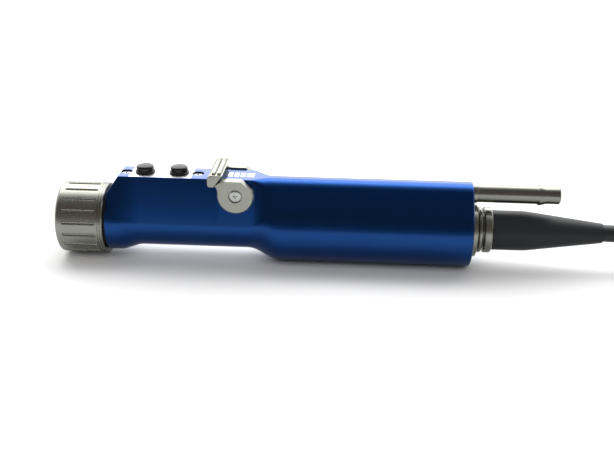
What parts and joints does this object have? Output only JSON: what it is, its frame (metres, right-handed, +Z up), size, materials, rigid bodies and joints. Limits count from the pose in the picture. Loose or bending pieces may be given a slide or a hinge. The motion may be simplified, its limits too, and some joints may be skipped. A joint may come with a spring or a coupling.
{
  "type": "arthroscopic shaver handpiece",
  "caption": "Motorised arthroscopic shaver handpiece with blade socket, turning collet, finger buttons, suction lever, rear suction tube and a corded plug.",
  "frame": {"origin": "centre of the blade socket's mouth, on the drive axis, in the plane of the collet's front face", "axes": "+X along the drive axis from the blade end to the cable, +Z up through the buttons and the lever"},
  "size_m": [0.5124, 0.054, 0.0409],
  "materials": {
    "blue_anodised": "satin, dark blue anodised aluminium",
    "satin_steel": "fine bead-blasted and passivated stainless steel",
    "plate_steel": "fine ground stainless sheet",
    "screw_steel": "turned stainless screws",
    "spring_steel": "drawn spring steel",
    "tube_steel": "drawn stainless tube, satin",
    "nickel_plate": "nickel plated brass, satin",
    "dark_rubber": "matt moulded silicone rubber",
    "boot_rubber": "smooth moulded silicone rubber",
    "cable_jacket": "silicone cable jacket, satin",
    "button_rubber": "glossy black moulded rubber",
    "black_plastic": "moulded glass-filled plastic",
    "magnet_nickel": "nickel plated magnet",
    "board_green": "coated circuit board",
    "winding_copper": "enamelled copper winding",
    "motor_steel": "plated motor steel",
    "pin_gold": "gold plated contact"
  },
  "bodies": {
    "root": {"main_housing": "blue_anodised", "nose_seal": "dark_rubber", "blade_socket": "satin_steel", "locking_balls": "screw_steel", "collet_spring": "spring_steel", "collet_clip": "spring_steel", "switch_plate": "plate_steel", "plate_screws": "screw_steel", "button_bezels": "button_rubber", "front_dome": "spring_steel", "rear_dome": "spring_steel", "switch_board": "board_green", "suction_tube": "tube_steel", "tube_collar": "tube_steel", "shaft_seals": "dark_rubber", "front_bearing": "screw_steel", "rear_bearing": "screw_steel", "stator_winding": "winding_copper", "motor_can": "motor_steel", "motor_end_bell": "motor_steel", "motor_retainer": "motor_steel", "rear_cap": "nickel_plate", "cable_clamp": "black_plastic", "cable_core": "cable_jacket", "gland_body": "nickel_plate", "gland_nut": "nickel_plate", "strain_relief_boot": "boot_rubber", "cable_run": "cable_jacket", "cable_coil": "cable_jacket", "cable_tail": "cable_jacket", "plug_boot": "boot_rubber", "plug_body": "nickel_plate", "plug_grip": "nickel_plate", "plug_shell": "nickel_plate", "plug_insert": "black_plastic", "plug_pins": "pin_gold"},
    "collet": {"collet_ring": "satin_steel"},
    "lever": {"suction_lever": "satin_steel", "lever_screws": "screw_steel", "valve_spool": "satin_steel", "valve_seals": "dark_rubber"},
    "front_button": {"front_button": "button_rubber", "front_magnet": "magnet_nickel"},
    "rear_button": {"rear_button": "button_rubber", "rear_magnet": "magnet_nickel"},
    "rotor": {"motor_shaft": "motor_steel", "rotor_magnet": "magnet_nickel", "drive_coupling": "satin_steel"}
  },
  "joints": [
    {"name": "collet_turn", "type": "hinge", "parent": "root", "child": "collet", "pos_m": [0, 0, 0], "axis": [1, 0, 0], "range_deg": [0, 35], "stiffness_Nm_per_rad": 0.05},
    {"name": "lever_swing", "type": "hinge", "parent": "root", "child": "lever", "pos_m": [0.0742, 0, 0.0151], "axis": [0, 1, 0], "range_deg": [0, 80]},
    {"name": "front_button_press", "type": "slide", "parent": "root", "child": "front_button", "axis": [0, 0, -1], "range_m": [0, 0.0006], "stiffness_N_per_m": 2500, "deforming": ["front_dome"]},
    {"name": "rear_button_press", "type": "slide", "parent": "root", "child": "rear_button", "axis": [0, 0, -1], "range_m": [0, 0.0006], "stiffness_N_per_m": 2500, "deforming": ["rear_dome"]},
    {"name": "drive_spin", "type": "hinge", "parent": "root", "child": "rotor", "pos_m": [0, 0, 0], "axis": [1, 0, 0], "continuous": true}
  ]
}
